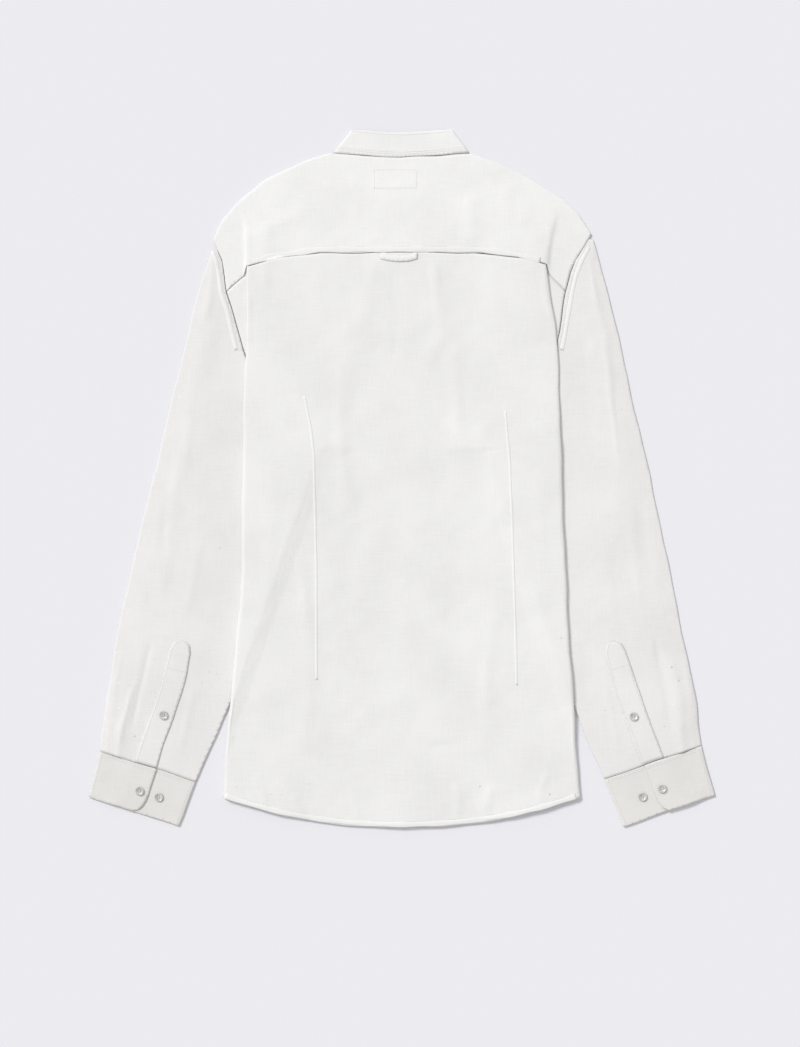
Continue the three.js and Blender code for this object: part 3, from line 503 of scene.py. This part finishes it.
TOWER_OUTER = {
    "left": [
        (255, -187), (261.5, -190), (266, -197), (271, -218), (278, -244), (286, -268), (306, -325.6),
    ],
    "right": [
        (246, -187), (252.6, -190), (257, -197.5), (263, -214.5),
        (270, -238.5), (278, -260.5), (301.8, -321.8),
    ],
}


def inset(corners, distance):
    """A closed outline moved in towards its middle."""
    middle = sum((Vector(c) for c in corners), Vector((0, 0))) / len(corners)
    out = []
    for c in corners:
        away = Vector(c) - middle
        out.append(tuple(middle + away * (1 - distance / away.length)))
    return [*out, out[0]]


def shifted(line, dx):
    return [(x + dx, y) for x, y in line]


extras = {node: [] for node in SHEETS}


def extra(node, obj, material):
    obj.data.materials.append(material)
    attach(obj, "root")
    if node in extras:
        extras[node].append(obj)


extra("back_panel", tape("dart_seams", surface, DARTS, 2.6, 0.4), LINEN_BRIGHT)
extra("back_panel", tape("hem_fold", surface, [HEM], 6.2, 0.5), LINEN_BRIGHT)
extra("back_panel", stitches("stitches_hem", surface, [HEM_STITCH]), THREAD)
extra("yoke", tape("yoke_seam_band", surface, [YOKE_BAND], 6.8, 0.35), LINEN_BRIGHT)
extra("yoke", stitches("stitches_yoke", surface, [YOKE_STITCH, *LABEL_LINES]), THREAD)
collar_rows = [COLLAR_SEAM, COLLAR_STITCH, COLLAR_EDGE]
extra("collar_band", stitches("stitches_collar", surface, collar_rows), THREAD)
for side, sign in (("left", -1), ("right", 1)):
    seam = tape(f"armhole_seam_{side}", surface, [ARMHOLE[side]], 4.5, 0.4)
    extra(f"sleeve_{side}", seam, LINEN_BRIGHT)
    rows = [shifted(ARMHOLE[side], -sign * 3.5)]
    extra(f"sleeve_{side}", stitches(f"stitches_armhole_{side}", surface, rows), THREAD)
    rows = [inset(CUFF[side], 4), inset(CUFF[side], 9)[:2]]
    extra(f"cuff_{side}", stitches(f"stitches_cuff_{side}", surface, rows), THREAD)
    inner = [(sign * (x + 2), y) for x, y in TOWER[side]]
    outer = [(sign * (x - 2), y) for x, y in TOWER_OUTER[side]]
    box = [inner[3], outer[3]]
    stitching = stitches(f"stitches_placket_{side}", surface, [inner, outer, box], 2.8, 2.0)
    extra(f"sleeve_placket_{side}", stitching, THREAD)

# ---------- buttons ----------


def button_from(node):
    """A button of the CAD model, where the creased cloth carries it."""
    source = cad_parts[node]
    mesh = source.data.copy()
    mesh.transform(source.matrix_world)
    low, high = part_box(node)
    seat = np.array([[(low.x + high.x) / 2, (low.y + high.y) / 2, low.z]]) / MM
    shift = (warped(seat) - seat)[0] * MM
    mesh.transform(Matrix.Translation(Vector(shift)))
    bm = bmesh.new()
    bm.from_mesh(mesh)
    bmesh.ops.remove_doubles(bm, verts=bm.verts, dist=WELD)
    bm.to_mesh(mesh)
    bm.free()
    mesh.materials.clear()
    mesh.shade_smooth()
    mesh.set_sharp_from_angle(angle=math.radians(BUTTON_SHARP_ANGLE))
    obj = new_object(f"pearl_{node}", mesh)
    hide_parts(node)
    extra(None, obj, PEARL)
    return obj


buttons = [button_from(node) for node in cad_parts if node.startswith("button")]
button_tree = tree_of(*buttons)
thread_lines = []
for obj in buttons:
    points = coordinates(obj.data) / MM
    (x, y), low_z = points[:, :2].mean(0), points[:, 2].min()
    if low_z > 3:
        thread_lines += [[(x, y + d), (x + 1.3, y + d)] for d in (-1.0, 1.0)]
threads = stitches("button_threads", button_tree, thread_lines, pitch=9, length=3.2, radius=0.35)
extra(None, threads, THREAD)

for node, (flat, area, rests_on, _) in SHEETS.items():
    cloth = cloths[node]
    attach(cloth, "root")
    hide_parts(node)

# ---------- floor, light and camera ----------
floor_mesh = bpy.data.meshes.new("floor")
corners = [(-1, -1), (1, -1), (1, 1), (-1, 1)]
floor_points = [(x * FLOOR_REACH, y * FLOOR_REACH, FLOOR_DEPTH) for x, y in corners]
floor_mesh.from_pydata(floor_points, [], [(0, 1, 2, 3)])
floor = new_object("floor", floor_mesh)
paper = bpy.data.materials.new("paper")
paper.use_nodes = True
paper_shader = paper.node_tree.nodes["Principled BSDF"]
paper_shader.inputs["Base Color"].default_value = (0.83, 0.825, 0.865, 1)
paper_shader.inputs["Roughness"].default_value = 1.0
paper_shader.inputs["Specular IOR Level"].default_value = 0.0
floor.data.materials.append(paper)

scene = bpy.context.scene
world = bpy.data.worlds.new("studio")
world.use_nodes = True
world.node_tree.nodes["Background"].inputs["Color"].default_value = (1, 1, 1, 1)
world.node_tree.nodes["Background"].inputs["Strength"].default_value = 0.58
scene.world = world
lamp = bpy.data.lights.new("window", "SUN")
lamp.energy = 1.95
lamp.angle = math.radians(16)
lamp_object = bpy.data.objects.new("window", lamp)
towards = Vector((-0.62, 0.62, 0.85))
lamp_object.rotation_mode = "QUATERNION"
lamp_object.rotation_quaternion = towards.to_track_quat("Z", "Y")
scene.collection.objects.link(lamp_object)

FRAME_HEIGHT = 1.204
camera = bpy.data.cameras.new("camera")
camera.lens = 100
camera.sensor_width = 36
camera_object = bpy.data.objects.new("camera", camera)
camera_object.location = (-0.0017, -0.0523, FRAME_HEIGHT * camera.lens / camera.sensor_width)
scene.collection.objects.link(camera_object)
scene.camera = camera_object
scene.view_settings.view_transform = "Standard"
